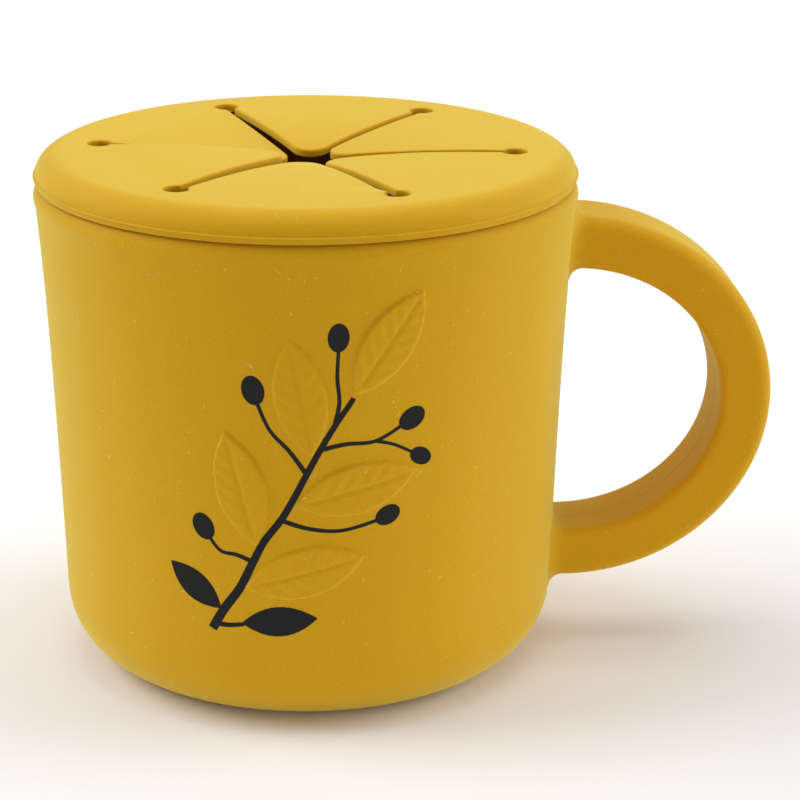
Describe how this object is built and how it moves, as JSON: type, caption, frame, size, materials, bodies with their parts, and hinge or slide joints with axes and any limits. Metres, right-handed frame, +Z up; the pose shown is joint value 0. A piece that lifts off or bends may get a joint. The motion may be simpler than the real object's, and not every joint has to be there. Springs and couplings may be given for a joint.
{
  "type": "toddler snack cup",
  "caption": "Soft silicone snack cup with a loop handle and a lid whose slit top has flaps that bend in and out for a small hand.",
  "frame": {"origin": "centre of the cup's round base, on the surface that the cup stands on", "axes": "+Z up along the cup's axis, +X towards the handle, so -Y is the decorated front"},
  "size_m": [0.1213, 0.0884, 0.0856],
  "materials": {
    "cup_silicone": "matt moulded silicone, mustard yellow",
    "lid_silicone": "matt moulded silicone, mustard yellow"
  },
  "bodies": {
    "cup": {"cup_body": "cup_silicone", "cup_handle": "cup_silicone"},
    "lid": {"lid_rim": "lid_silicone"},
    "flap_1": {"lid_flap_1": "lid_silicone"},
    "flap_2": {"lid_flap_2": "lid_silicone"},
    "flap_3": {"lid_flap_3": "lid_silicone"},
    "flap_4": {"lid_flap_4": "lid_silicone"},
    "flap_5": {"lid_flap_5": "lid_silicone"},
    "flap_6": {"lid_flap_6": "lid_silicone"}
  },
  "joints": [
    {"name": "lid_lift", "type": "slide", "parent": "cup", "child": "lid", "axis": [0, 0, 1], "range_m": [0, 0.045]},
    {"name": "flap_1_bend", "type": "hinge", "parent": "lid", "child": "flap_1", "pos_m": [0.0272, 0.01082, 0.08495], "axis": [0.3697, -0.9291, 0], "range_deg": [-55, 65], "stiffness_Nm_per_rad": 0.012},
    {"name": "flap_2_bend", "type": "hinge", "parent": "lid", "child": "flap_2", "pos_m": [0.00423, 0.02897, 0.08495], "axis": [0.9895, -0.1444, 0], "range_deg": [-55, 65], "stiffness_Nm_per_rad": 0.012},
    {"name": "flap_3_bend", "type": "hinge", "parent": "lid", "child": "flap_3", "pos_m": [-0.02297, 0.01814, 0.08495], "axis": [0.6198, 0.7848, 0], "range_deg": [-55, 65], "stiffness_Nm_per_rad": 0.012},
    {"name": "flap_4_bend", "type": "hinge", "parent": "lid", "child": "flap_4", "pos_m": [-0.0272, -0.01082, 0.08495], "axis": [-0.3697, 0.9291, 0], "range_deg": [-55, 65], "stiffness_Nm_per_rad": 0.012},
    {"name": "flap_5_bend", "type": "hinge", "parent": "lid", "child": "flap_5", "pos_m": [-0.00423, -0.02897, 0.08495], "axis": [-0.9895, 0.1444, 0], "range_deg": [-55, 65], "stiffness_Nm_per_rad": 0.012},
    {"name": "flap_6_bend", "type": "hinge", "parent": "lid", "child": "flap_6", "pos_m": [0.02297, -0.01814, 0.08495], "axis": [-0.6198, -0.7848, 0], "range_deg": [-55, 65], "stiffness_Nm_per_rad": 0.012}
  ]
}
